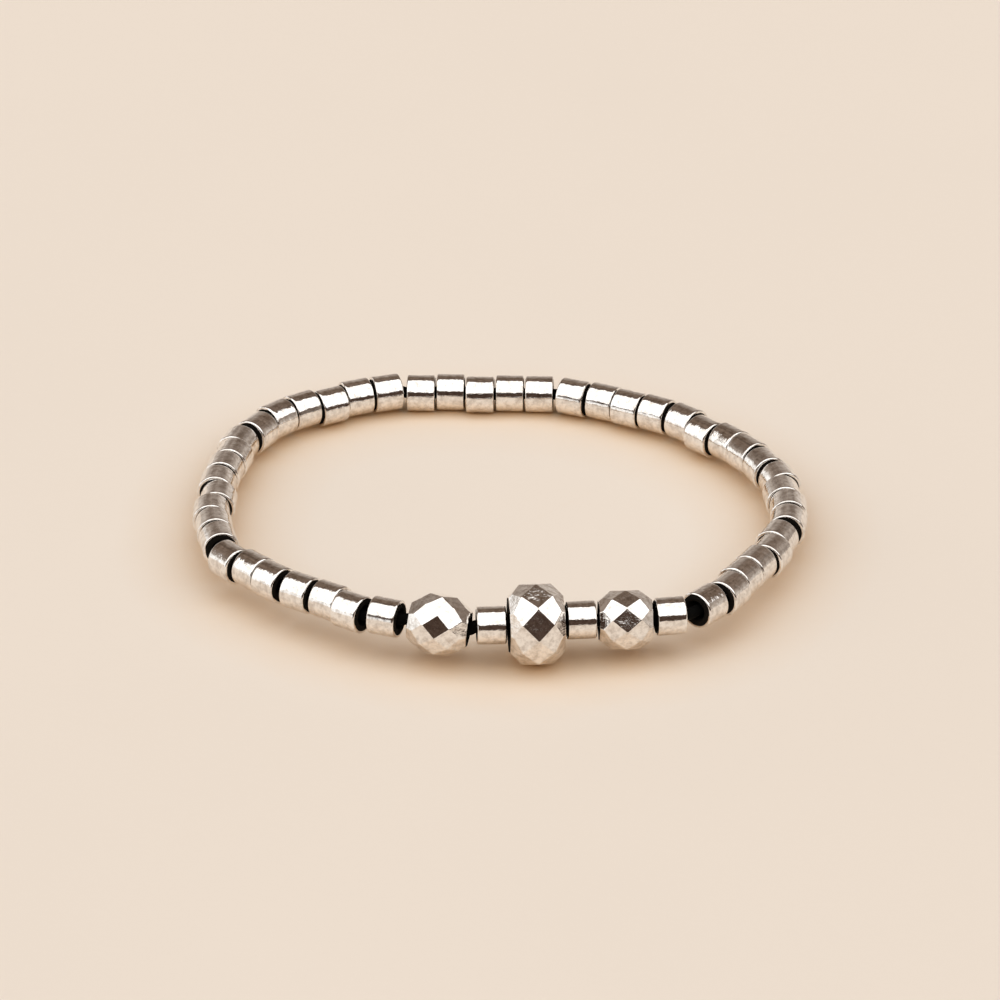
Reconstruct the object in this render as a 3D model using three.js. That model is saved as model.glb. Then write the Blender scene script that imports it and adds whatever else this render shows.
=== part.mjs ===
// Stackable ring: a loop of small plated cylinder beads on an elastic thread, with a faceted
// rondelle at the front between two smaller faceted beads. Millimetres, +Z up. The ring lies
// down: it stands on the rondelle at the front (-Y) and on the straight run of beads at the back.
import * as THREE from 'three';

// Driving dimensions
const CYLINDER_DIAMETER = 1.35;
const CYLINDER_LENGTH = 1.02;
const CYLINDER_BORE = 0.7;
const RIM_CHAMFER = 0.05;
const RONDELLE_DIAMETER = 3.0;
const RONDELLE_LENGTH = 1.9;
const SMALL_FACETED_DIAMETER = 2.2;
const LEFT_FACETED_LENGTH = 2.1; // the two small faceted beads differ, as cut beads do
const RIGHT_FACETED_LENGTH = 1.85;
const FACETED_BORE = 0.95;
const THREAD_DIAMETER = 0.4;
const SEAM = 0.03; // play from bead to bead along the thread
const SIDE_PLAY = 0.09; // how far a cylinder sits to one side of the thread's line

// Shape of the faceted beads, as shares of half their length
const RONDELLE_DIAMOND = 0.58; // where a diamond's point lies
const RONDELLE_KITE = 0.88; // where a kite's point lies
const LEFT_DIAMOND = 0.46;
const LEFT_KITE = 0.8;
const RIGHT_DIAMOND = 0.54;
const RIGHT_KITE = 0.86;

const FACET_COLUMNS = 8;
const CYLINDER_SIDES = 12;
const THREAD_SIDES = 8;

// How the faceted beads lie on the thread, in degrees: rolled about it, swung to one side seen
// from above, and dipped at the right end
const RONDELLE_ROLL = -26;
const LEFT_ROLL = -22;
const LEFT_SWING = -4;
const LEFT_DIP = 6;
const RIGHT_ROLL = -27;
const RIGHT_SWING = -4;
const SIDE_PLAY_TURN = 137.5; // the golden angle, so that no two neighbours sit alike

// The route of the string, counterclockwise from the rondelle, seen from above: how many beads
// lie in each stretch, the heading of its first bead and the bend from bead to bead, in degrees,
// and the thread that shows before the stretch and between its beads, as a share of a bead. The
// ring lies on the rondelle and on the stretch marked resting.
const ROUTE = [
  { beads: 1, heading: 3, bend: 0, gap: 0.1 },
  { beads: 3, heading: 4, bend: 2, gap: 0 },
  { beads: 1, heading: 48, bend: 0, gap: 0 },
  { beads: 3, heading: 56, bend: 2, gap: 0 },
  { beads: 2, heading: 64, bend: 3, gap: 0 },
  { beads: 5, heading: 80, bend: 8, gap: 0 },
  { beads: 4, heading: 125, bend: 4, gap: 0.03 },
  { beads: 4, heading: 149, bend: 3, gap: 0.03 },
  { beads: 5, heading: 180, bend: 0, gap: 0.03, resting: true },
  { beads: 4, heading: 200, bend: 6, gap: 0 },
  { beads: 2, heading: 228, bend: 14, gap: 0 },
  { beads: 4, heading: 255, bend: 4, gap: 0.02 },
  { beads: 4, heading: 268, bend: 5, gap: 0 },
  { beads: 3, heading: 309, bend: 4, gap: 0 },
  { beads: 1, heading: 325, bend: 0, gap: 0.19 },
  { beads: 2, heading: 325, bend: 0, gap: 0.02 },
  { beads: 1, heading: 338, bend: 0, gap: 0.05 },
  { beads: 2, heading: 353, bend: 9, gap: 0 },
];

const silver = new THREE.MeshStandardMaterial({
  name: 'silver_plate', color: 0xd9d2cb, roughness: 0.12, metalness: 1,
});
const elastic = new THREE.MeshStandardMaterial({
  name: 'elastic_black', color: 0x16130f, roughness: 0.7, metalness: 0,
});

const radians = THREE.MathUtils.degToRad;

// A geometry from points and triangles.
function solidFrom(points, triangles) {
  const geometry = new THREE.BufferGeometry();
  geometry.setAttribute('position', new THREE.Float32BufferAttribute(points.flat(), 3));
  geometry.setIndex(triangles.flat());
  geometry.computeVertexNormals();
  return geometry;
}

// Cylinder bead: a turned tube along X with a small chamfer at each rim, one flat side down.
function cylinderGeometry() {
  const half = CYLINDER_LENGTH / 2;
  const outer = CYLINDER_DIAMETER / 2;
  const bore = CYLINDER_BORE / 2;
  const profile = [
    new THREE.Vector2(bore, -half),
    new THREE.Vector2(outer - RIM_CHAMFER, -half),
    new THREE.Vector2(outer, -half + RIM_CHAMFER),
    new THREE.Vector2(outer, half - RIM_CHAMFER),
    new THREE.Vector2(outer - RIM_CHAMFER, half),
    new THREE.Vector2(bore, half),
    new THREE.Vector2(bore, -half),
  ];
  const halfSide = Math.PI / CYLINDER_SIDES;
  return new THREE.LatheGeometry(profile, CYLINDER_SIDES, halfSide).rotateZ(-Math.PI / 2);
}

// Faceted bead along X: eight diamonds round the middle, a kite between each two of them and a
// five-sided facet beyond each diamond's point, ending in a flat table with the bore.
function facetedGeometry(diameter, length, diamondShare, kiteShare) {
  const half = length / 2;
  const diamond = half * diamondShare;
  const kite = half * kiteShare;
  const girdle = diameter / 2;
  const step = (2 * Math.PI) / FACET_COLUMNS;
  const flat = Math.cos(step / 2);
  // A kite is flat when its far point lies on the plane of its other three points.
  const diamondRadius = girdle * flat;
  const kiteRadius = girdle * (1 - (1 - flat * flat) * (kite / diamond));
  const slope = (kiteRadius * flat - diamondRadius) / (kite - diamond);
  const tableRadius = (diamondRadius + slope * (half - diamond)) / flat;
  const rings = [
    { along: -half, radius: FACETED_BORE / 2, turn: 0.5 },
    { along: -half, radius: tableRadius, turn: 0.5 },
    { along: -kite, radius: kiteRadius, turn: 0.5 },
    { along: -diamond, radius: diamondRadius, turn: 0 },
    { along: 0, radius: girdle, turn: 0.5 },
    { along: diamond, radius: diamondRadius, turn: 0 },
    { along: kite, radius: kiteRadius, turn: 0.5 },
    { along: half, radius: tableRadius, turn: 0.5 },
    { along: half, radius: FACETED_BORE / 2, turn: 0.5 },
  ];
  const points = [];
  for (const ring of rings) {
    for (let column = 0; column < FACET_COLUMNS; column += 1) {
      const angle = (column + ring.turn) * step;
      points.push([ring.along, -ring.radius * Math.cos(angle), ring.radius * Math.sin(angle)]);
    }
  }
  const triangles = [];
  rings.forEach((ring, index) => {
    const nextIndex = (index + 1) % rings.length;
    const shift = rings[nextIndex].turn - ring.turn;
    for (let column = 0; column < FACET_COLUMNS; column += 1) {
      const wrapped = (offset) => (column + offset + FACET_COLUMNS) % FACET_COLUMNS;
      const here = (offset) => index * FACET_COLUMNS + wrapped(offset);
      const next = (offset) => nextIndex * FACET_COLUMNS + wrapped(offset);
      if (shift < 0) {
        triangles.push([here(-1), next(0), here(0)], [next(0), next(1), here(0)]);
      } else if (shift > 0) {
        triangles.push([here(0), next(0), here(1)], [here(0), next(-1), next(0)]);
      } else {
        triangles.push([here(0), next(1), here(1)], [here(0), next(0), next(1)]);
      }
    }
  });
  return { geometry: solidFrom(points, triangles), tableRadius };
}

const cylinder = cylinderGeometry();
const rondelle = facetedGeometry(RONDELLE_DIAMETER, RONDELLE_LENGTH, RONDELLE_DIAMOND, RONDELLE_KITE);
const leftFaceted = facetedGeometry(
  SMALL_FACETED_DIAMETER, LEFT_FACETED_LENGTH, LEFT_DIAMOND, LEFT_KITE,
);
const rightFaceted = facetedGeometry(
  SMALL_FACETED_DIAMETER, RIGHT_FACETED_LENGTH, RIGHT_DIAMOND, RIGHT_KITE,
);

// The length of thread that a faceted bead takes up: the ends of a leaning one reach further.
function leaningLength(length, tableRadius, swing, dip) {
  const lean = Math.acos(Math.cos(swing) * Math.cos(dip));
  return length * Math.cos(lean) + 2 * tableRadius * Math.sin(lean);
}

// The beads in their order on the string, with the headings that the route gives them. The
// plain cylinders are numbered from the one right of the faceted beads.
function stringBeads() {
  const beads = [];
  for (const stretch of ROUTE) {
    for (let index = 0; index < stretch.beads; index += 1) {
      beads.push({
        geometry: cylinder,
        length: CYLINDER_LENGTH,
        heading: radians(stretch.heading + index * stretch.bend),
        gap: SEAM + stretch.gap * CYLINDER_LENGTH,
        resting: Boolean(stretch.resting),
        roll: 0,
        swing: 0,
        dip: 0,
      });
    }
  }
  const [front, spacerRight, smallRight, ...others] = beads;
  const spacerLeft = others.pop();
  const smallLeft = others.pop();
  others.forEach((bead, index) => {
    bead.name = `cylinder_bead_${String(index + 1).padStart(2, '0')}`;
  });
  Object.assign(front, {
    name: 'faceted_rondelle',
    geometry: rondelle.geometry,
    length: RONDELLE_LENGTH,
    roll: radians(RONDELLE_ROLL),
  });
  Object.assign(spacerRight, { name: 'spacer_bead_right' });
  Object.assign(smallRight, {
    name: 'small_faceted_bead_right',
    geometry: rightFaceted.geometry,
    length: leaningLength(RIGHT_FACETED_LENGTH, rightFaceted.tableRadius, radians(RIGHT_SWING), 0),
    roll: radians(RIGHT_ROLL),
    swing: radians(RIGHT_SWING),
  });
  Object.assign(smallLeft, {
    name: 'small_faceted_bead_left',
    geometry: leftFaceted.geometry,
    length: leaningLength(
      LEFT_FACETED_LENGTH, leftFaceted.tableRadius, radians(LEFT_SWING), radians(LEFT_DIP),
    ),
    roll: radians(LEFT_ROLL),
    swing: radians(LEFT_SWING),
    dip: radians(LEFT_DIP),
  });
  Object.assign(spacerLeft, { name: 'spacer_bead_left' });
  return beads;
}

// The headings are bent by a small wave, once round the ring, until the string ends where it began.
function closeString(beads) {
  const wave = { cosine: 0, sine: 0 };
  const ends = (cosine, sine) => {
    const end = new THREE.Vector2();
    for (const bead of beads) {
      const shift = cosine * Math.cos(bead.heading) + sine * Math.sin(bead.heading);
      const heading = bead.heading + shift;
      const chord = bead.length + bead.gap;
      end.add(new THREE.Vector2(Math.cos(heading), Math.sin(heading)).multiplyScalar(chord));
    }
    return end;
  };
  const NUDGE = 1e-5;
  const ROUNDS = 12;
  for (let round = 0; round < ROUNDS; round += 1) {
    const end = ends(wave.cosine, wave.sine);
    const byCosine = ends(wave.cosine + NUDGE, wave.sine).sub(end).divideScalar(NUDGE);
    const bySine = ends(wave.cosine, wave.sine + NUDGE).sub(end).divideScalar(NUDGE);
    const determinant = byCosine.cross(bySine);
    wave.cosine -= end.cross(bySine) / determinant;
    wave.sine -= byCosine.cross(end) / determinant;
  }
  for (const bead of beads) {
    const shift = wave.cosine * Math.cos(bead.heading) + wave.sine * Math.sin(bead.heading);
    bead.heading += shift;
  }
}

// Each bead touches the next at their inner edges and opens outwards. The pivots between them
// are strung along the inside of the ring, and each bead's middle lies a little more than its
// radius outside its own stretch. The thread turns where the lines of two neighbours meet.
function layString(beads) {
  const pivotReach = CYLINDER_DIAMETER / 2 + SIDE_PLAY;
  const pivot = new THREE.Vector3();
  const corners = [];
  beads.forEach((bead, index) => {
    const before = beads[(index + beads.length - 1) % beads.length];
    bead.along = new THREE.Vector3(Math.cos(bead.heading), Math.sin(bead.heading), 0);
    bead.outward = new THREE.Vector3(Math.sin(bead.heading), -Math.cos(bead.heading), 0);
    const outwardBefore = new THREE.Vector3(Math.sin(before.heading), -Math.cos(before.heading), 0);
    const between = outwardBefore.add(bead.outward).normalize();
    const mitre = 1 / between.dot(bead.outward);
    corners.push({ place: pivot.clone().addScaledVector(between, pivotReach * mitre), between, mitre });
    const chord = bead.length + bead.gap;
    bead.middle = pivot.clone().addScaledVector(bead.along, chord / 2);
    bead.middle.addScaledVector(bead.outward, pivotReach);
    pivot.addScaledVector(bead.along, chord);
  });
  return corners;
}

// The thread: a closed tube through the corners, mitred at each.
function threadGeometry(corners) {
  const radius = THREAD_DIAMETER / 2;
  const points = [];
  const triangles = [];
  corners.forEach((corner, index) => {
    const nextIndex = (index + 1) % corners.length;
    for (let side = 0; side < THREAD_SIDES; side += 1) {
      const angle = (2 * Math.PI * side) / THREAD_SIDES;
      const reach = radius * corner.mitre * Math.cos(angle);
      const point = corner.place.clone().addScaledVector(corner.between, reach);
      points.push([point.x, point.y, radius * Math.sin(angle)]);
      const nextSide = (side + 1) % THREAD_SIDES;
      const here = index * THREAD_SIDES;
      const next = nextIndex * THREAD_SIDES;
      triangles.push([here + side, next + side, next + nextSide]);
      triangles.push([here + side, next + nextSide, here + nextSide]);
    }
  });
  return solidFrom(points, triangles);
}

// The tilt at which the rondelle's lowest point and the flat sides of the beads in the resting
// run are equally low.
function restingTilt(beads) {
  const step = (2 * Math.PI) / FACET_COLUMNS;
  const front = beads[0];
  let lowest = { y: 0, z: 0 };
  for (let column = 0; column < FACET_COLUMNS; column += 1) {
    const angle = (column + 0.5) * step - front.roll;
    const y = front.middle.y - (RONDELLE_DIAMETER / 2) * Math.cos(angle);
    const z = (RONDELLE_DIAMETER / 2) * Math.sin(angle);
    if (z < lowest.z) lowest = { y, z };
  }
  const resting = beads.filter((bead) => bead.resting);
  const backY = resting.reduce((sum, bead) => sum + bead.middle.y, 0) / resting.length;
  const flatSide = (CYLINDER_DIAMETER / 2) * Math.cos(Math.PI / CYLINDER_SIDES);
  const reach = Math.hypot(backY - lowest.y, lowest.z);
  return Math.asin(flatSide / reach) - Math.atan2(-lowest.z, backY - lowest.y);
}

// One bead at its place: turned along the string, leant and rolled on the thread. A cylinder is also
// pushed a little to one side, as a loose bead lies, but not upwards where the ring rests on it.
function beadMesh(bead, index, tilt) {
  const mesh = new THREE.Mesh(bead.geometry, silver);
  mesh.name = bead.name;
  const up = new THREE.Vector3(0, 0, 1);
  const inward = bead.outward.clone().negate();
  const turned = new THREE.Matrix4().makeBasis(bead.along, inward, up);
  const down = new THREE.Vector3(0, -Math.sin(tilt), -Math.cos(tilt));
  const level = bead.geometry === cylinder ? Math.atan2(down.dot(inward), -down.z) : 0;
  const rolled = new THREE.Matrix4().makeRotationX(bead.roll + level);
  const leant = new THREE.Matrix4().makeRotationZ(bead.swing);
  leant.multiply(new THREE.Matrix4().makeRotationY(bead.dip));
  mesh.quaternion.setFromRotationMatrix(turned.multiply(leant).multiply(rolled));
  const angle = radians(index * SIDE_PLAY_TURN);
  const play = bead.geometry === cylinder ? SIDE_PLAY : 0;
  mesh.position.copy(bead.middle);
  mesh.position.addScaledVector(bead.outward, play * Math.cos(angle));
  mesh.position.addScaledVector(up, bead.resting ? 0 : play * Math.abs(Math.sin(angle)));
  return mesh;
}

const beads = stringBeads();
closeString(beads);
const corners = layString(beads);
const tilt = restingTilt(beads);

const string = new THREE.Group();
beads.forEach((bead, index) => string.add(beadMesh(bead, index, tilt)));
const thread = new THREE.Mesh(threadGeometry(corners), elastic);
thread.name = 'elastic_thread';
string.add(thread);
string.rotation.x = tilt;

// The origin is on the surface that the ring lies on, under the middle of its box.
const ring = new THREE.Group();
ring.add(string);
const box = new THREE.Box3().setFromObject(ring, true);
string.position.set(-(box.min.x + box.max.x) / 2, -(box.min.y + box.max.y) / 2, -box.min.z);

export default ring;
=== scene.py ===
"""Looks of a stackable ring of plated beads, laid out as a Blender add-on and run as a script.

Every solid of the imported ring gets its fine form: the cylinders rounded rims and matt black ends,
the faceted beads softened facet edges, and the elastic thread a smooth round section.
"""
import math

import bmesh
import bpy
import numpy as np
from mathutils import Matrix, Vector


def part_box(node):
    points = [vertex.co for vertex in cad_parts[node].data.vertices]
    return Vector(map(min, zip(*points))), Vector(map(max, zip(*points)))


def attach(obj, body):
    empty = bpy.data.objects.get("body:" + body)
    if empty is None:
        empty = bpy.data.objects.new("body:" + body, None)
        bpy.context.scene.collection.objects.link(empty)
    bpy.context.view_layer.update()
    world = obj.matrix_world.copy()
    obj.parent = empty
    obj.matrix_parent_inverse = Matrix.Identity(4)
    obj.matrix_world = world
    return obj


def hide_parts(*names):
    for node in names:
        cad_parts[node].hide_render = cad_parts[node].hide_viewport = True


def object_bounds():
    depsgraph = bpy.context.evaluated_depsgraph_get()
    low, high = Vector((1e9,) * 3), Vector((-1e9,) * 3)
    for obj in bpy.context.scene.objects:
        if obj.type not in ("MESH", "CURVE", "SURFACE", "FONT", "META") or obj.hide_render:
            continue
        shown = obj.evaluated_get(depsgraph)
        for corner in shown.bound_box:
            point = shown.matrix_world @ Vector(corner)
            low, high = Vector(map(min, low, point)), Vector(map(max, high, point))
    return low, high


bl_info = {
    "name": "Stackable Ring",
    "version": (1, 0, 0),
    "blender": (4, 5, 0),
    "location": "3D View > Sidebar > Ring",
    "description": "Gives the solids of a beaded stackable ring their looks",
    "category": "Object",
}

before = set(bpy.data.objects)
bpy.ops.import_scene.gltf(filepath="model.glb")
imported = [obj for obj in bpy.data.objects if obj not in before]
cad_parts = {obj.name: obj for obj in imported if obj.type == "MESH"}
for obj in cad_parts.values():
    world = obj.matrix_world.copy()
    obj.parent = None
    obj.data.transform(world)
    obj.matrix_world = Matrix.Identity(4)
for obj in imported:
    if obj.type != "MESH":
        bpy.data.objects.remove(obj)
CAD_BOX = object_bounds()

THREAD_NODE = "elastic_thread"
FACETED_NODES = ("faceted_rondelle", "small_faceted_bead_left", "small_faceted_bead_right")
CYLINDER_NODES = sorted(set(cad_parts) - {THREAD_NODE, *FACETED_NODES})
FACET_COLUMNS = 8
CYLINDER_SIDES = 12
MILLIMETRE = 0.001
UP = np.array([0.0, 0.0, 1.0])
GOLDEN_SHARE = 0.618034
RING_SPREAD = 0.00001
OUTERMOST_SHARE = 0.99
LIP_INSET = 1.6
FUNNEL_WIDTH = 0.6
FACET_AREA_RATIO = 12
FILM_ROUGHNESS = 0.07
WORN_BRIGHTNESS = 3.0


# Settings

class RingBeadSettings(bpy.types.PropertyGroup):
    """Fine sizes of the beads and the thread."""

    rim_rounding: bpy.props.FloatProperty(
        name="Rim rounding", description="Radius of the plated rims of a cylinder bead",
        default=0.00006, min=0.00001, unit="LENGTH", precision=6)
    rim_steps: bpy.props.IntProperty(
        name="Rim steps", description="Faces across one rounded rim", default=6, min=2)
    wall_steps: bpy.props.IntProperty(
        name="Wall steps", description="Faces along the wall of a cylinder bead", default=8, min=2)
    columns: bpy.props.IntProperty(
        name="Columns", description="Faces round a cylinder bead", default=72, min=12)
    facet_rounding: bpy.props.FloatProperty(
        name="Facet rounding", description="Width of the softened edges between facets",
        default=0.000022, min=0.000005, unit="LENGTH", precision=6)
    facet_steps: bpy.props.IntProperty(
        name="Facet steps", description="Faces across one softened facet edge", default=5, min=1)
    thread_diameter: bpy.props.FloatProperty(
        name="Thread diameter", description="Thickness of the elastic thread",
        default=0.0004, min=0.00001, unit="LENGTH", precision=6)
    thread_sides: bpy.props.IntProperty(
        name="Thread sides", description="Faces round the thread", default=20, min=6)
    thread_bend_steps: bpy.props.IntProperty(
        name="Thread bend steps", description="Sections of thread from bead to bead", default=8, min=2)


class RingFinishSettings(bpy.types.PropertyGroup):
    """Colours and gloss of the ring."""

    plate_color: bpy.props.FloatVectorProperty(
        name="Plate", description="Colour of the silver plate", subtype="COLOR",
        size=3, min=0, max=1, default=(0.94, 0.915, 0.885))
    plate_stain_color: bpy.props.FloatVectorProperty(
        name="Plate stain", description="Colour of the patchy film on the plate", subtype="COLOR",
        size=3, min=0, max=1, default=(0.55, 0.48, 0.42))
    plate_roughness: bpy.props.FloatProperty(
        name="Plate roughness", description="Roughness of clean silver plate",
        default=0.045, min=0, max=1, subtype="FACTOR")
    plate_unevenness: bpy.props.FloatProperty(
        name="Plate unevenness", description="Depth of the soft dents in the plate",
        default=0.00002, min=0, unit="LENGTH", precision=6)
    plate_scratches: bpy.props.FloatProperty(
        name="Plate scratches", description="Depth of the fine polishing lines",
        default=0.0000015, min=0, unit="LENGTH", precision=7)
    plate_rings: bpy.props.FloatProperty(
        name="Plate rings", description="Depth of the turning rings round a bead",
        default=0.0000012, min=0, unit="LENGTH", precision=7)
    core_color: bpy.props.FloatVectorProperty(
        name="Core", description="Colour of the bare bead ends", subtype="COLOR",
        size=3, min=0, max=1, default=(0.006, 0.005, 0.004))
    core_roughness: bpy.props.FloatProperty(
        name="Core roughness", description="Roughness of the bare bead ends",
        default=0.8, min=0, max=1, subtype="FACTOR")
    elastic_color: bpy.props.FloatVectorProperty(
        name="Elastic", description="Colour of the thread", subtype="COLOR",
        size=3, min=0, max=1, default=(0.002, 0.0018, 0.0016))
    elastic_roughness: bpy.props.FloatProperty(
        name="Elastic roughness", description="Roughness of the thread",
        default=0.75, min=0, max=1, subtype="FACTOR")


class RingStageSettings(bpy.types.PropertyGroup):
    """Floor, light and camera."""

    floor_color: bpy.props.FloatVectorProperty(
        name="Floor", description="Colour of the floor", subtype="COLOR",
        size=3, min=0, max=1, default=(0.84, 0.745, 0.65))
    floor_width: bpy.props.FloatProperty(
        name="Floor width", description="Side of the square floor", default=6.0, min=0.1, unit="LENGTH")
    softbox_color: bpy.props.FloatVectorProperty(
        name="Softbox", description="Colour of the overhead softbox", subtype="COLOR",
        size=3, min=0, max=1, default=(1.0, 0.985, 0.965))
    softbox_strength: bpy.props.FloatProperty(
        name="Softbox strength", description="Brightness of the softbox", default=1.55, min=0)
    softbox_front: bpy.props.FloatProperty(
        name="Softbox front edge", description="Height of its front edge above the horizon",
        default=math.radians(33.0), subtype="ANGLE")
    softbox_back: bpy.props.FloatProperty(
        name="Softbox back edge", description="Height of its back edge above the horizon",
        default=math.radians(66.5), subtype="ANGLE")
    softbox_left: bpy.props.FloatProperty(
        name="Softbox left edge", description="Height of its left edge above the horizon",
        default=math.radians(8.0), subtype="ANGLE")
    softbox_right: bpy.props.FloatProperty(
        name="Softbox right edge", description="Height of its right edge above the horizon",
        default=math.radians(26.0), subtype="ANGLE")
    room_front_color: bpy.props.FloatVectorProperty(
        name="Room in front", description="Colour of the dim room behind the camera", subtype="COLOR",
        size=3, min=0, max=1, default=(0.075, 0.048, 0.036))
    room_back_color: bpy.props.FloatVectorProperty(
        name="Room at the back", description="Colour of the room behind the ring", subtype="COLOR",
        size=3, min=0, max=1, default=(0.17, 0.122, 0.092))
    horizon_color: bpy.props.FloatVectorProperty(
        name="Horizon", description="Colour of the room low at the back and sides",
        subtype="COLOR", size=3, min=0, max=1, default=(0.72, 0.64, 0.57))
    horizon_height: bpy.props.FloatProperty(
        name="Horizon height", description="Height up to which the room is paler",
        default=math.radians(42.0), subtype="ANGLE")
    room_contrast: bpy.props.FloatProperty(
        name="Room contrast", description="How much the room's brightness varies", default=0.45,
        min=0, max=1, subtype="FACTOR")
    side_light: bpy.props.FloatProperty(
        name="Side light", description="Brightness of the low light at the left", default=1.1, min=0)
    side_light_height: bpy.props.FloatProperty(
        name="Side light height", description="Top of the low light above the horizon",
        default=math.radians(14.0), subtype="ANGLE")
    shadow_color: bpy.props.FloatVectorProperty(
        name="Contact shadow", description="Colour of the floor close under the ring",
        subtype="COLOR", size=3, min=0, max=1, default=(0.78, 0.50, 0.25))
    shadow_reach: bpy.props.FloatProperty(
        name="Contact shadow reach", description="How far from the ring the floor is tinted",
        default=0.003, min=0.0001, unit="LENGTH", precision=4)
    backdrop_color: bpy.props.FloatVectorProperty(
        name="Backdrop", description="Colour that the camera sees past the floor", subtype="COLOR",
        size=3, min=0, max=1, default=(0.80, 0.70, 0.60))
    camera_distance: bpy.props.FloatProperty(
        name="Camera distance", description="From the camera to the rondelle",
        default=0.2632, min=0.01, unit="LENGTH")
    camera_elevation: bpy.props.FloatProperty(
        name="Camera elevation", description="Height of the camera above the rondelle, as an angle",
        default=math.radians(30.5), subtype="ANGLE")
    lens: bpy.props.FloatProperty(
        name="Lens", description="Focal length of the camera", default=275.0, min=10, unit="CAMERA")


# Places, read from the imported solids

def node_points(name):
    """The separate corner points of a solid, an array of rows x, y, z in metres."""
    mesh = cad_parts[name].data
    points = np.empty(len(mesh.vertices) * 3)
    mesh.vertices.foreach_get("co", points)
    return np.unique(points.reshape(-1, 3), axis=0)


def bead_place(name):
    """The middle, axis and section of a bead.

    The spread of a bead's points is the same both ways across the axis, so of the three main
    directions of the spread the axis is the one whose size is furthest from the middle size.
    """
    points = node_points(name)
    middle = points.mean(axis=0)
    offsets = points - middle
    sizes, directions = np.linalg.eigh(offsets.T @ offsets)
    odd = 0 if sizes[1] - sizes[0] > sizes[2] - sizes[1] else 2
    axis = directions[:, odd]
    along = offsets @ axis
    across = offsets - np.outer(along, axis)
    radii = np.linalg.norm(across, axis=1)
    side = across[radii.argmax()] / radii.max()
    rise = np.cross(axis, side)
    return {
        "middle": middle,
        "axis": axis,
        "side": side,
        "rise": rise,
        "along": along,
        "radii": radii,
        "turns": np.arctan2(across @ rise, across @ side),
    }


def placed(place, along, radius, turn):
    """Points at a distance along a bead's axis, at a radius and a turn about it."""
    outward = np.multiply.outer(np.cos(turn), place["side"])
    outward = outward + np.multiply.outer(np.sin(turn), place["rise"])
    return place["middle"] + np.multiply.outer(along, place["axis"]) + radius[..., None] * outward


# Meshes

def grid_quads(rows, columns):
    """Quads of a grid that closes on itself both ways, as rows of four point numbers."""
    row, column = np.meshgrid(np.arange(rows), np.arange(columns), indexing="ij")
    next_row = (row + 1) % rows
    next_column = (column + 1) % columns
    corners = (
        row * columns + column,
        row * columns + next_column,
        next_row * columns + next_column,
        next_row * columns + column,
    )
    return np.stack(corners, axis=-1).reshape(-1, 4)


def outward_faces(points, faces):
    """The faces, all turned over if the closed shape that they make is inside out."""
    first, second, third = (points[faces[:, corner]] for corner in range(3))
    fourth = points[faces[:, -1]]
    volume = np.einsum("ij,ij->", first, np.cross(second, third) + np.cross(third, fourth))
    return faces if volume > 0 else faces[:, ::-1]


def add_piece(name, mesh, node, materials):
    """A finished piece: it stands for its solid, moves with the ring and has its materials."""
    piece = bpy.data.objects.new(name, mesh)
    bpy.context.scene.collection.objects.link(piece)
    for material in materials:
        mesh.materials.append(material)
    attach(piece, "root")
    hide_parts(node)
    return piece


def set_attribute(mesh, name, values):
    """One number for each point of a mesh, which the materials read by name."""
    attribute = mesh.attributes.new(name, "FLOAT", "POINT")
    attribute.data.foreach_set("value", np.asarray(values, np.float32))


def mark_bead(mesh, number, place):
    """What varies a bead's finish: its own share from 0 to 1, and the distance along its axis.

    The shares are spread by the golden share, so no two neighbours are alike.
    """
    points = np.empty(len(mesh.vertices) * 3)
    mesh.vertices.foreach_get("co", points)
    along = (points.reshape(-1, 3) - place["middle"]) @ place["axis"]
    set_attribute(mesh, "bead_tone", np.full(len(along), (number * GOLDEN_SHARE) % 1.0))
    set_attribute(mesh, "bead_along", along / MILLIMETRE)


def cylinder_profile(half, outer, bore, settings):
    """Half a section of a cylinder bead: distances along the axis, radii and which are bare.

    It runs along the plated wall, round a rim as a quarter circle, down the bare end, back
    through the bore and up the other end and rim. The lip and the funnel into the bore are
    shares of the rim's rounding.
    """
    rounding = settings.rim_rounding
    sweep = np.linspace(0.0, math.pi / 2, settings.rim_steps + 1)
    rim_along = half - rounding + rounding * np.sin(sweep)
    rim_radius = outer - rounding + rounding * np.cos(sweep)
    share = np.linspace(-1.0, 1.0, settings.wall_steps + 1)
    support = np.sign(share) * np.abs(share) ** 0.5
    wall_along = support[1:-1] * (half - rounding)
    wall_radius = np.full(wall_along.shape, outer)
    lip = outer - LIP_INSET * rounding
    funnel = bore + FUNNEL_WIDTH * rounding
    end_along = np.array([half, half, half - FUNNEL_WIDTH * rounding])
    end_radius = np.array([lip, funnel, bore])
    along = np.concatenate([wall_along, rim_along, end_along])
    along = np.concatenate([along, -end_along[::-1], -rim_along[::-1]])
    radius = np.concatenate([wall_radius, rim_radius, end_radius])
    radius = np.concatenate([radius, end_radius[::-1], rim_radius[::-1]])
    plated = len(wall_along) + len(rim_along)
    bare = np.zeros(len(along), int)
    bare[plated:plated + 2 * len(end_along) - 1] = 1
    return along, radius, bare


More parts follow.
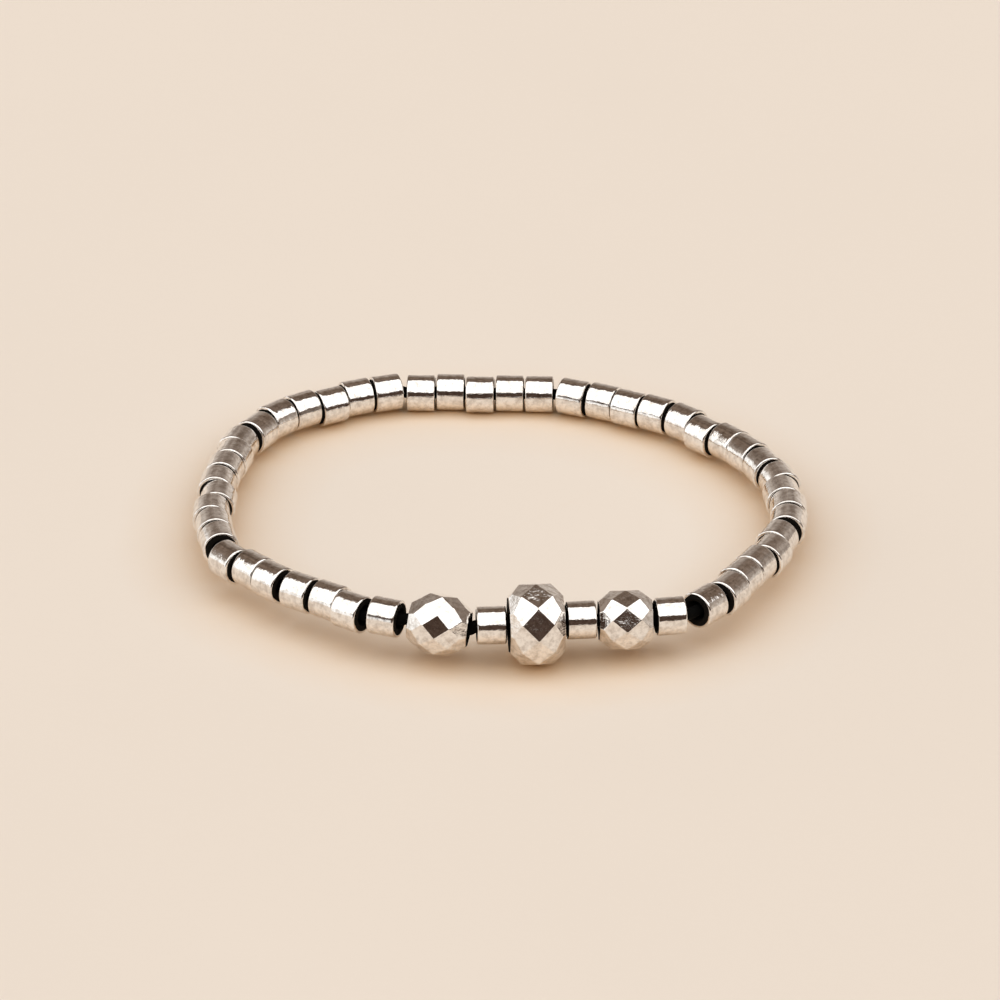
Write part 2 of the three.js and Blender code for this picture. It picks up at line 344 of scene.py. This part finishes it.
def cylinder_mesh(name, number, settings):
    """A turned tube: the profile carried round the bead's axis.

    Its wall runs midway between the corners and the flat sides of the solid.
    """
    place = bead_place(name)
    half = np.abs(place["along"]).max()
    outer = place["radii"].max() * (1 + math.cos(math.pi / CYLINDER_SIDES)) / 2
    bore = place["radii"].min()
    along, radius, bare = cylinder_profile(half, outer, bore, settings)
    turns = np.linspace(0.0, 2 * math.pi, settings.columns, endpoint=False)
    rows = len(along)
    along = np.repeat(along[:, None], settings.columns, axis=1)
    radius = np.repeat(radius[:, None], settings.columns, axis=1)
    turn = np.repeat(turns[None, :], rows, axis=0)
    points = placed(place, along, radius, turn).reshape(-1, 3)
    faces = outward_faces(points - place["middle"], grid_quads(rows, settings.columns))
    mesh = bpy.data.meshes.new(name)
    mesh.from_pydata(points.tolist(), [], faces.tolist())
    mesh.polygons.foreach_set("material_index", np.repeat(bare, settings.columns))
    mesh.polygons.foreach_set("use_smooth", np.ones(len(faces), bool))
    mark_bead(mesh, number, place)
    return mesh


def facet_rings(place):
    """The rings of points of a faceted solid, end to end: along, radius and turn of each.

    The rings are where the solid's points lie along its axis. The end rings hold the bore and
    the table's corners; the table's radius is the larger.
    """
    step = 2 * math.pi / FACET_COLUMNS
    ordered = np.sort(place["along"])
    starts = np.flatnonzero(np.diff(ordered) > RING_SPREAD) + 1
    rings = []
    for group in np.split(ordered, starts):
        station = group.mean()
        here = np.abs(place["along"] - station) < RING_SPREAD
        largest = place["radii"][here].max()
        outermost = here & (place["radii"] > largest * OUTERMOST_SHARE)
        level = np.cos(FACET_COLUMNS * place["turns"][outermost]).mean() > 0
        rings.append((station, place["radii"][outermost].mean(), 0.0 if level else step / 2))
    return rings


def faceted_mesh(name, number, settings):
    """A faceted bead: flat diamonds, kites and five-sided facets with softened edges.

    The facets join the solid's own rings of points. They are built in millimetres, where the
    bevel is exact, and every facet keeps one normal, so it mirrors as a flat face.
    """
    place = bead_place(name)
    bore = place["radii"].min()
    rings = facet_rings(place)
    first, last = rings[0], rings[-1]
    rings = [(first[0], bore, first[2])] + rings + [(last[0], bore, last[2])]
    step = 2 * math.pi / FACET_COLUMNS
    columns = np.arange(FACET_COLUMNS) * step
    local = []
    for along, radius, turn in rings:
        angle = columns + turn
        ring = [np.full(FACET_COLUMNS, along), radius * np.cos(angle), radius * np.sin(angle)]
        local.append(np.stack(ring, axis=1))
    local = np.concatenate(local) / MILLIMETRE

    def corner(ring, column):
        return ring * FACET_COLUMNS + column % FACET_COLUMNS

    # The rings are bore, table, kite, diamond, girdle, diamond, kite, table and bore. The
    # girdle's points are on the even columns, the diamonds' points half a column on.
    faces = []
    bare = []
    for column in range(FACET_COLUMNS):
        after = column + 1
        faces.append([corner(3, column), corner(4, after), corner(5, column), corner(4, column)])
        bare.append(0)
        for diamond, kite, table, end in ((5, 6, 7, 8), (3, 2, 1, 0)):
            before = column - 1
            faces.append([corner(4, column), corner(diamond, column), corner(kite, column),
                          corner(diamond, before)])
            bare.append(0)
            faces.append([corner(diamond, column), corner(kite, after), corner(table, after),
                          corner(table, column), corner(kite, column)])
            bare.append(0)
            faces.append([corner(table, column), corner(table, after), corner(end, after),
                          corner(end, column)])
            bare.append(1)
        faces.append([corner(8, column), corner(8, after), corner(0, after), corner(0, column)])
        bare.append(1)
    return beveled_mesh(name, number, local, faces, bare, place, settings)


def beveled_mesh(name, number, local, faces, bare, place, settings):
    """The faces with rounded edges between them, carried to the bead's place."""
    solid = bmesh.new()
    points = [solid.verts.new(point) for point in local]
    for face, is_bare in zip(faces, bare):
        solid.faces.new([points[index] for index in face]).material_index = is_bare
    bmesh.ops.recalc_face_normals(solid, faces=solid.faces)
    plated_edges = [
        edge for edge in solid.edges
        if any(face.material_index == 0 for face in edge.link_faces)
    ]
    bmesh.ops.bevel(
        solid, geom=plated_edges, offset=settings.facet_rounding / MILLIMETRE,
        offset_type="OFFSET", segments=settings.facet_steps, profile=0.5,
        affect="EDGES", clamp_overlap=True, material=0)
    mesh = bpy.data.meshes.new(name)
    solid.to_mesh(mesh)
    solid.free()
    flat = np.empty(len(mesh.vertices) * 3)
    mesh.vertices.foreach_get("co", flat)
    flat = flat.reshape(-1, 3) * MILLIMETRE
    turned = np.stack([place["axis"], place["side"], place["rise"]])
    mesh.vertices.foreach_set("co", (place["middle"] + flat @ turned).ravel())
    mesh.polygons.foreach_set("use_smooth", np.ones(len(mesh.polygons), bool))
    mesh.update()
    set_facet_normals(mesh)
    mark_bead(mesh, number, place)
    return mesh


def set_facet_normals(mesh):
    """Each point takes the normal of its largest face, so facets are flat and edges round."""
    areas = np.empty(len(mesh.polygons))
    mesh.polygons.foreach_get("area", areas)
    normals = np.empty(len(mesh.polygons) * 3)
    mesh.polygons.foreach_get("normal", normals)
    normals = normals.reshape(-1, 3)
    counts = np.empty(len(mesh.polygons), int)
    mesh.polygons.foreach_get("loop_total", counts)
    loop_face = np.repeat(np.arange(len(counts)), counts)
    loop_point = np.empty(len(mesh.loops), int)
    mesh.loops.foreach_get("vertex_index", loop_point)
    order = np.argsort(areas[loop_face], kind="stable")
    largest = np.zeros(len(mesh.vertices), int)
    largest[loop_point[order]] = loop_face[order]
    smooth = np.zeros((len(mesh.vertices), 3))
    np.add.at(smooth, loop_point, normals[loop_face])
    smooth /= np.linalg.norm(smooth, axis=1, keepdims=True)
    is_facet = areas[largest] > FACET_AREA_RATIO * np.median(areas)
    point_normals = np.where(is_facet[:, None], normals[largest], smooth)
    mesh.normals_split_custom_set_from_vertices(point_normals.tolist())


def string_order():
    """The beads' places in order round the ring, all axes pointing the same way round."""
    places = [bead_place(name) for name in (*CYLINDER_NODES, *FACETED_NODES)]
    middles = np.array([place["middle"] for place in places])
    centre = middles.mean(axis=0)
    around = np.arctan2(middles[:, 1] - centre[1], middles[:, 0] - centre[0])
    places = [places[index] for index in np.argsort(around)]
    for index, place in enumerate(places):
        ahead = places[(index + 1) % len(places)]["middle"] - place["middle"]
        if place["axis"] @ ahead < 0:
            place["axis"] = -place["axis"]
    return places


def thread_path(bend_steps):
    """The thread's line: straight through each bead, a Hermite curve from bead to bead."""
    places = string_order()
    share = np.linspace(0.0, 1.0, bend_steps + 1)[:, None]
    leave = 2 * share ** 3 - 3 * share ** 2 + 1
    leave_pull = share ** 3 - 2 * share ** 2 + share
    arrive = -2 * share ** 3 + 3 * share ** 2
    arrive_pull = share ** 3 - share ** 2
    stretches = []
    for index, place in enumerate(places):
        following = places[(index + 1) % len(places)]
        start = place["middle"] + place["axis"] * np.abs(place["along"]).max()
        end = following["middle"] - following["axis"] * np.abs(following["along"]).max()
        pull = np.linalg.norm(end - start)
        stretches.append(
            leave * start + leave_pull * pull * place["axis"]
            + arrive * end + arrive_pull * pull * following["axis"])
    return np.concatenate(stretches)


def thread_mesh(settings):
    """A round section carried along the closed line of the thread."""
    path = thread_path(settings.thread_bend_steps)
    ahead = np.roll(path, -1, axis=0) - np.roll(path, 1, axis=0)
    ahead /= np.linalg.norm(ahead, axis=1, keepdims=True)
    across = np.cross(ahead, UP)
    across /= np.linalg.norm(across, axis=1, keepdims=True)
    rise = np.cross(across, ahead)
    radius = settings.thread_diameter / 2
    turn = np.linspace(0.0, 2 * math.pi, settings.thread_sides, endpoint=False)
    outward = across[:, None] * np.cos(turn)[:, None] + rise[:, None] * np.sin(turn)[:, None]
    points = (path[:, None] + radius * outward).reshape(-1, 3)
    faces = outward_faces(points, grid_quads(len(path), settings.thread_sides))
    mesh = bpy.data.meshes.new(THREAD_NODE)
    mesh.from_pydata(points.tolist(), [], faces.tolist())
    mesh.polygons.foreach_set("use_smooth", np.ones(len(faces), bool))
    return mesh


# Shader nodes

def add_node(tree, kind, inputs=(), **settings):
    """A node with its settings, and its inputs set to values or linked to sockets."""
    node = tree.nodes.new(kind)
    for name, value in settings.items():
        setattr(node, name, value)
    for name, value in dict(inputs).items():
        socket = node.inputs[name]
        if isinstance(value, bpy.types.NodeSocket):
            tree.links.new(value, socket)
        else:
            socket.default_value = value
    return node


def color_value(color):
    """A colour with full alpha, as a socket takes it."""
    return (*color, 1.0)


def surface_marks_group():
    """Shader group: soft patches, smaller stains, fine lines of wear and turning rings."""
    name = "Surface marks"
    if name in bpy.data.node_groups:
        return bpy.data.node_groups[name]
    group = bpy.data.node_groups.new(name, "ShaderNodeTree")
    sockets = group.interface
    for socket in ("Patch size", "Line size"):
        sockets.new_socket(socket, in_out="INPUT", socket_type="NodeSocketFloat")
    for socket in ("Patches", "Lines", "Rings", "Stains"):
        sockets.new_socket(socket, in_out="OUTPUT", socket_type="NodeSocketFloat")
    entry = group.nodes.new("NodeGroupInput")
    leave = group.nodes.new("NodeGroupOutput")
    place = add_node(group, "ShaderNodeTexCoord")
    tone = add_node(group, "ShaderNodeAttribute", attribute_name="bead_tone")
    bead_shift = (0.01, 0.02, 0.03)
    shift = add_node(group, "ShaderNodeVectorMath", {
        0: tone.outputs["Fac"], 1: bead_shift}, operation="MULTIPLY")
    moved = add_node(group, "ShaderNodeVectorMath", {
        0: place.outputs["Object"], 1: shift.outputs["Vector"]}, operation="ADD")
    patch_scale = add_node(group, "ShaderNodeMath", {0: 1.0, 1: entry.outputs["Patch size"]},
                           operation="DIVIDE")
    patches = add_node(group, "ShaderNodeTexNoise", {
        "Vector": moved.outputs["Vector"], "Scale": patch_scale.outputs["Value"],
        "Detail": 3.0, "Roughness": 0.55})
    stain_scale = add_node(group, "ShaderNodeMath", {0: 3.0, 1: entry.outputs["Patch size"]},
                           operation="DIVIDE")
    stains = add_node(group, "ShaderNodeTexNoise", {
        "Vector": moved.outputs["Vector"], "Scale": stain_scale.outputs["Value"],
        "Detail": 4.0, "Roughness": 0.65})
    line_scale = add_node(group, "ShaderNodeMath", {0: 1.0, 1: entry.outputs["Line size"]},
                          operation="DIVIDE")
    bent = add_node(group, "ShaderNodeMapping", {
        "Vector": moved.outputs["Vector"], "Rotation": (0.4, 0.9, 0.3), "Scale": (1.0, 1.0, 14.0)})
    lines = add_node(group, "ShaderNodeTexNoise", {
        "Vector": bent.outputs["Vector"], "Scale": line_scale.outputs["Value"],
        "Detail": 2.0, "Roughness": 0.6, "Distortion": 0.3})
    along = add_node(group, "ShaderNodeAttribute", attribute_name="bead_along")
    ring_shift = 40.0
    spread = add_node(group, "ShaderNodeMath", {
        0: tone.outputs["Fac"], 1: ring_shift, 2: along.outputs["Fac"]}, operation="MULTIPLY_ADD")
    rings = add_node(group, "ShaderNodeTexNoise", {
        "W": spread.outputs["Value"], "Scale": 14.0, "Detail": 3.0, "Roughness": 0.7},
        noise_dimensions="1D")
    marks = {"Patches": patches, "Lines": lines, "Rings": rings, "Stains": stains}
    for socket, noise in marks.items():
        group.links.new(noise.outputs["Fac"], leave.inputs[socket])
    return group


def new_material(name):
    """An empty material with its Principled BSDF and the two nodes around it."""
    material = bpy.data.materials.new(name)
    material.use_nodes = True
    tree = material.node_tree
    return material, tree, tree.nodes["Principled BSDF"]


def silver_plate_material(finish):
    """Bright mirror plate, a little uneven, with a patchy film, fine lines and turning rings."""
    name = "polished_silver_plate"
    if name in bpy.data.materials:
        return bpy.data.materials[name]
    material, tree, surface = new_material(name)
    marks = add_node(tree, "ShaderNodeGroup", node_tree=surface_marks_group())
    marks.inputs["Patch size"].default_value = 0.0006
    marks.inputs["Line size"].default_value = 0.0004
    film = add_node(tree, "ShaderNodeMapRange", {
        "Value": marks.outputs["Stains"], "From Min": 0.42, "From Max": 0.68, "To Max": 0.75})
    color = add_node(tree, "ShaderNodeMix", {
        "Factor": film.outputs["Result"], "A": color_value(finish.plate_color),
        "B": color_value(finish.plate_stain_color)}, data_type="RGBA")
    gloss = add_node(tree, "ShaderNodeMapRange", {
        "Value": marks.outputs["Patches"], "From Min": 0.35, "From Max": 0.75,
        "To Min": finish.plate_roughness,
        "To Max": finish.plate_roughness + FILM_ROUGHNESS})
    uneven = add_node(tree, "ShaderNodeBump", {
        "Height": marks.outputs["Patches"], "Strength": 1.0, "Distance": finish.plate_unevenness})
    scratched = add_node(tree, "ShaderNodeBump", {
        "Height": marks.outputs["Lines"], "Strength": 1.0, "Distance": finish.plate_scratches,
        "Normal": uneven.outputs["Normal"]})
    turned = add_node(tree, "ShaderNodeBump", {
        "Height": marks.outputs["Rings"], "Strength": 1.0, "Distance": finish.plate_rings,
        "Normal": scratched.outputs["Normal"]})
    tree.links.new(color.outputs["Result"], surface.inputs["Base Color"])
    tree.links.new(gloss.outputs["Result"], surface.inputs["Roughness"])
    tree.links.new(turned.outputs["Normal"], surface.inputs["Normal"])
    surface.inputs["Metallic"].default_value = 1.0
    return material


def bare_core_material(finish):
    """Matt black ends of a bead, a little dusty and pitted."""
    name = "matt_bare_core"
    if name in bpy.data.materials:
        return bpy.data.materials[name]
    material, tree, surface = new_material(name)
    marks = add_node(tree, "ShaderNodeGroup", node_tree=surface_marks_group())
    marks.inputs["Patch size"].default_value = 0.00012
    marks.inputs["Line size"].default_value = 0.0002
    dusty = tuple(WORN_BRIGHTNESS * channel for channel in finish.core_color)
    color = add_node(tree, "ShaderNodeMix", {
        "Factor": marks.outputs["Patches"], "A": color_value(finish.core_color),
        "B": color_value(dusty)}, data_type="RGBA")
    gloss = add_node(tree, "ShaderNodeMapRange", {
        "Value": marks.outputs["Patches"], "To Min": finish.core_roughness - 0.15,
        "To Max": finish.core_roughness + 0.15})
    bump = add_node(tree, "ShaderNodeBump", {
        "Height": marks.outputs["Patches"], "Strength": 0.5, "Distance": 0.00001})
    tree.links.new(color.outputs["Result"], surface.inputs["Base Color"])
    tree.links.new(gloss.outputs["Result"], surface.inputs["Roughness"])
    tree.links.new(bump.outputs["Normal"], surface.inputs["Normal"])
    surface.inputs["Specular IOR Level"].default_value = 0.04
    return material


def elastic_material(finish):
    """Black elastic, slightly ribbed and worn."""
    name = "worn_black_elastic"
    if name in bpy.data.materials:
        return bpy.data.materials[name]
    material, tree, surface = new_material(name)
    marks = add_node(tree, "ShaderNodeGroup", node_tree=surface_marks_group())
    marks.inputs["Patch size"].default_value = 0.00015
    marks.inputs["Line size"].default_value = 0.0003
    worn = tuple(WORN_BRIGHTNESS * channel for channel in finish.elastic_color)
    color = add_node(tree, "ShaderNodeMix", {
        "Factor": marks.outputs["Lines"], "A": color_value(finish.elastic_color),
        "B": color_value(worn)}, data_type="RGBA")
    gloss = add_node(tree, "ShaderNodeMapRange", {
        "Value": marks.outputs["Patches"], "To Min": finish.elastic_roughness - 0.1,
        "To Max": finish.elastic_roughness + 0.2})
    bump = add_node(tree, "ShaderNodeBump", {
        "Height": marks.outputs["Lines"], "Strength": 0.4, "Distance": 0.00001})
    tree.links.new(color.outputs["Result"], surface.inputs["Base Color"])
    tree.links.new(gloss.outputs["Result"], surface.inputs["Roughness"])
    tree.links.new(bump.outputs["Normal"], surface.inputs["Normal"])
    surface.inputs["Specular IOR Level"].default_value = 0.04
    return material


def floor_material(stage):
    """Plain pale matt surface, barely uneven, with a warm contact shadow painted into its colour where
    the ring shades it.
    """
    material, tree, surface = new_material("floor")
    place = add_node(tree, "ShaderNodeTexCoord")
    broad = add_node(tree, "ShaderNodeTexNoise", {
        "Vector": place.outputs["Object"], "Scale": 40.0, "Detail": 3.0})
    darker = tuple(0.96 * channel for channel in stage.floor_color)
    color = add_node(tree, "ShaderNodeMix", {
        "Factor": broad.outputs["Fac"], "A": color_value(stage.floor_color),
        "B": color_value(darker)}, data_type="RGBA")
    # Painted contact shadow: occlusion by the ring mixes the shadow colour into the floor's own colour.
    open_share = add_node(tree, "ShaderNodeAmbientOcclusion", {
        "Distance": stage.shadow_reach}, samples=1)
    with_painted_shadow = add_node(tree, "ShaderNodeMix", {
        "Factor": open_share.outputs["AO"], "A": color_value(stage.shadow_color),
        "B": color.outputs["Result"]}, data_type="RGBA")
    grain = add_node(tree, "ShaderNodeTexNoise", {
        "Vector": place.outputs["Object"], "Scale": 2500.0, "Detail": 2.0})
    bump = add_node(tree, "ShaderNodeBump", {
        "Height": grain.outputs["Fac"], "Strength": 0.15, "Distance": 0.00005})
    tree.links.new(with_painted_shadow.outputs["Result"], surface.inputs["Base Color"])
    tree.links.new(bump.outputs["Normal"], surface.inputs["Normal"])
    surface.inputs["Roughness"].default_value = 0.9
    surface.inputs["Specular IOR Level"].default_value = 0.2
    return material


# Stage

def band_mask(tree, value, low, high, softness):
    """A mask that is 1 where the value lies between two edges, with soft edges."""
    rising = add_node(tree, "ShaderNodeMapRange", {
        "Value": value, "From Min": low - softness, "From Max": low + softness},
        interpolation_type="SMOOTHSTEP")
    falling = add_node(tree, "ShaderNodeMapRange", {
        "Value": value, "From Min": high - softness, "From Max": high + softness,
        "To Min": 1.0, "To Max": 0.0}, interpolation_type="SMOOTHSTEP")
    both = add_node(tree, "ShaderNodeMath", {
        0: rising.outputs["Result"], 1: falling.outputs["Result"]}, operation="MULTIPLY")
    return both.outputs["Value"]


def studio_world(stage):
    """A dim room with a softbox overhead and a low side light, a colour for each direction.

    The softbox is a level rectangle: a direction meets it where its slopes, x and y over z, lie
    between the rectangle's edges. The room grows paler, unevenly, down to the horizon at the
    back. The side light's edges are parts of a direction of length 1.
    """
    world = bpy.data.worlds.new("studio")
    world.use_nodes = True
    bpy.context.scene.world = world
    tree = world.node_tree
    background = tree.nodes["Background"]
    direction = add_node(tree, "ShaderNodeTexCoord")
    parts = add_node(tree, "ShaderNodeSeparateXYZ", {"Vector": direction.outputs["Generated"]})
    height = add_node(tree, "ShaderNodeMath", {0: parts.outputs["Z"], 1: 0.001}, operation="MAXIMUM")
    slopes = {}
    for letter in ("X", "Y"):
        slope = add_node(tree, "ShaderNodeMath", {
            0: parts.outputs[letter], 1: height.outputs["Value"]}, operation="DIVIDE")
        slopes[letter] = slope.outputs["Value"]
    softbox_softness = 0.03
    left = -1 / math.tan(stage.softbox_left)
    right = 1 / math.tan(stage.softbox_right)
    front = -1 / math.tan(stage.softbox_front)
    back = 1 / math.tan(stage.softbox_back)
    across = band_mask(tree, slopes["X"], left, right, softbox_softness)
    deep = band_mask(tree, slopes["Y"], front, back, softbox_softness)
    softbox = add_node(tree, "ShaderNodeMath", {0: across, 1: deep}, operation="MULTIPLY")
    toward_back = add_node(tree, "ShaderNodeMapRange", {
        "Value": parts.outputs["Y"], "From Min": -0.6, "From Max": 0.1},
        interpolation_type="SMOOTHSTEP")
    plain_room = add_node(tree, "ShaderNodeMix", {
        "Factor": toward_back.outputs["Result"], "A": color_value(stage.room_front_color),
        "B": color_value(stage.room_back_color)}, data_type="RGBA")
    clutter = add_node(tree, "ShaderNodeTexNoise", {
        "Vector": direction.outputs["Generated"], "Scale": 13.0, "Detail": 2.0, "Roughness": 0.6})
    dimming = add_node(tree, "ShaderNodeMapRange", {
        "Value": clutter.outputs["Fac"], "From Min": 0.35, "From Max": 0.65,
        "To Min": 1.0 - stage.room_contrast, "To Max": 1.0 + stage.room_contrast})
    room = add_node(tree, "ShaderNodeVectorMath", {
        0: plain_room.outputs["Result"], "Scale": dimming.outputs["Result"]}, operation="SCALE")
    low = add_node(tree, "ShaderNodeMapRange", {
        "Value": parts.outputs["Z"], "From Min": 0.0, "From Max": math.sin(stage.horizon_height),
        "To Min": 1.0, "To Max": 0.0}, interpolation_type="SMOOTHSTEP")
    spots = add_node(tree, "ShaderNodeTexNoise", {
        "Vector": direction.outputs["Generated"], "Scale": 3.5, "Detail": 4.0, "Roughness": 0.6})
    uneven = add_node(tree, "ShaderNodeMapRange", {
        "Value": spots.outputs["Fac"], "From Min": 0.38, "From Max": 0.62, "To Min": 0.35})
    paler = add_node(tree, "ShaderNodeMath", {
        0: low.outputs["Result"], 1: toward_back.outputs["Result"]}, operation="MULTIPLY")
    pale_share = add_node(tree, "ShaderNodeMath", {
        0: paler.outputs["Value"], 1: uneven.outputs["Result"]}, operation="MULTIPLY")
    around = add_node(tree, "ShaderNodeMix", {
        "Factor": pale_share.outputs["Value"], "A": room.outputs["Vector"],
        "B": color_value(stage.horizon_color)}, data_type="RGBA")
    side_left, side_right, side_softness = -1.1, -0.62, 0.08
    side_bottom, side_top, level_softness = -0.1, math.sin(stage.side_light_height), 0.05
    beside = band_mask(tree, parts.outputs["X"], side_left, side_right, side_softness)
    level = band_mask(tree, parts.outputs["Z"], side_bottom, side_top, level_softness)
    side_share = add_node(tree, "ShaderNodeMath", {0: beside, 1: level}, operation="MULTIPLY")
    side_bright = tuple(stage.side_light * channel for channel in stage.softbox_color)
    with_side = add_node(tree, "ShaderNodeMix", {
        "Factor": side_share.outputs["Value"], "A": around.outputs["Result"],
        "B": color_value(side_bright)}, data_type="RGBA")
    bright = tuple(stage.softbox_strength * channel for channel in stage.softbox_color)
    lit = add_node(tree, "ShaderNodeMix", {
        "Factor": softbox.outputs["Value"], "A": with_side.outputs["Result"],
        "B": color_value(bright)}, data_type="RGBA")
    path = add_node(tree, "ShaderNodeLightPath")
    seen = add_node(tree, "ShaderNodeMix", {
        "Factor": path.outputs["Is Camera Ray"], "A": lit.outputs["Result"],
        "B": color_value(stage.backdrop_color)}, data_type="RGBA")
    tree.links.new(seen.outputs["Result"], background.inputs["Color"])


def add_floor(stage):
    """A level square under the ring."""
    half = stage.floor_width / 2
    corners = [(-half, -half, 0.0), (half, -half, 0.0), (half, half, 0.0), (-half, half, 0.0)]
    mesh = bpy.data.meshes.new("floor")
    mesh.from_pydata(corners, [], [(0, 1, 2, 3)])
    mesh.materials.append(floor_material(stage))
    floor = bpy.data.objects.new("floor", mesh)
    bpy.context.scene.collection.objects.link(floor)


def add_camera(stage):
    """A camera at the photograph's angle to the rondelle, aimed at the middle of the ring."""
    low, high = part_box("faceted_rondelle")
    toward = Vector((0.0, -math.cos(stage.camera_elevation), math.sin(stage.camera_elevation)))
    camera = bpy.data.objects.new("camera", bpy.data.cameras.new("camera"))
    camera.location = (low + high) / 2 + toward * stage.camera_distance
    aim = (CAD_BOX[0] + CAD_BOX[1]) / 2
    camera.rotation_euler = (aim - camera.location).to_track_quat("-Z", "Y").to_euler()
    camera.data.sensor_width = 36.0
    camera.data.lens = stage.lens
    camera.data.clip_start = 0.01
    camera.data.clip_end = 20.0
    bpy.context.scene.collection.objects.link(camera)
    bpy.context.scene.camera = camera


# Operators and panel

class RING_OT_cylinder_beads(bpy.types.Operator):
    """Make the plain cylinder beads and the two spacers"""

    bl_idname = "ring.cylinder_beads"
    bl_label = "Cylinder Beads"

    def execute(self, context):
        settings = context.scene.ring_beads
        finish = context.scene.ring_finish
        materials = (silver_plate_material(finish), bare_core_material(finish))
        for number, name in enumerate(CYLINDER_NODES):
            mesh = cylinder_mesh(name, number, settings)
            add_piece("plated_" + name, mesh, name, materials)
        return {"FINISHED"}


class RING_OT_faceted_beads(bpy.types.Operator):
    """Make the rondelle and the two small faceted beads"""

    bl_idname = "ring.faceted_beads"
    bl_label = "Faceted Beads"

    def execute(self, context):
        settings = context.scene.ring_beads
        finish = context.scene.ring_finish
        materials = (silver_plate_material(finish), bare_core_material(finish))
        for number, name in enumerate(FACETED_NODES):
            mesh = faceted_mesh(name, number, settings)
            add_piece("plated_" + name, mesh, name, materials)
        return {"FINISHED"}


class RING_OT_elastic_thread(bpy.types.Operator):
    """Make the elastic thread through the beads"""

    bl_idname = "ring.elastic_thread"
    bl_label = "Elastic Thread"

    def execute(self, context):
        mesh = thread_mesh(context.scene.ring_beads)
        materials = (elastic_material(context.scene.ring_finish),)
        add_piece("round_elastic_thread", mesh, THREAD_NODE, materials)
        return {"FINISHED"}


class RING_OT_stage(bpy.types.Operator):
    """Make the floor, the studio light and the camera"""

    bl_idname = "ring.stage"
    bl_label = "Stage"

    def execute(self, context):
        stage = context.scene.ring_stage
        context.scene.view_settings.view_transform = "Standard"
        add_floor(stage)
        studio_world(stage)
        add_camera(stage)
        return {"FINISHED"}


class RING_PT_ring(bpy.types.Panel):
    """Sidebar panel with the ring's settings and operators"""

    bl_idname = "RING_PT_ring"
    bl_label = "Stackable Ring"
    bl_space_type = "VIEW_3D"
    bl_region_type = "UI"
    bl_category = "Ring"

    def draw(self, context):
        layout = self.layout
        scene = context.scene
        for settings in (scene.ring_beads, scene.ring_finish, scene.ring_stage):
            box = layout.box()
            for name in settings.__annotations__:
                box.prop(settings, name)
        for operator in OPERATORS:
            layout.operator(operator.bl_idname)


OPERATORS = (RING_OT_stage, RING_OT_elastic_thread, RING_OT_cylinder_beads, RING_OT_faceted_beads)
CLASSES = (RingBeadSettings, RingFinishSettings, RingStageSettings, *OPERATORS, RING_PT_ring)


def register():
    for item in CLASSES:
        bpy.utils.register_class(item)
    bpy.types.Scene.ring_beads = bpy.props.PointerProperty(type=RingBeadSettings)
    bpy.types.Scene.ring_finish = bpy.props.PointerProperty(type=RingFinishSettings)
    bpy.types.Scene.ring_stage = bpy.props.PointerProperty(type=RingStageSettings)


def unregister():
    del bpy.types.Scene.ring_stage
    del bpy.types.Scene.ring_finish
    del bpy.types.Scene.ring_beads
    for item in reversed(CLASSES):
        bpy.utils.unregister_class(item)


def main():
    register()
    bpy.ops.ring.stage()
    bpy.ops.ring.elastic_thread()
    bpy.ops.ring.cylinder_beads()
    bpy.ops.ring.faceted_beads()


if __name__ == "__main__":
    main()
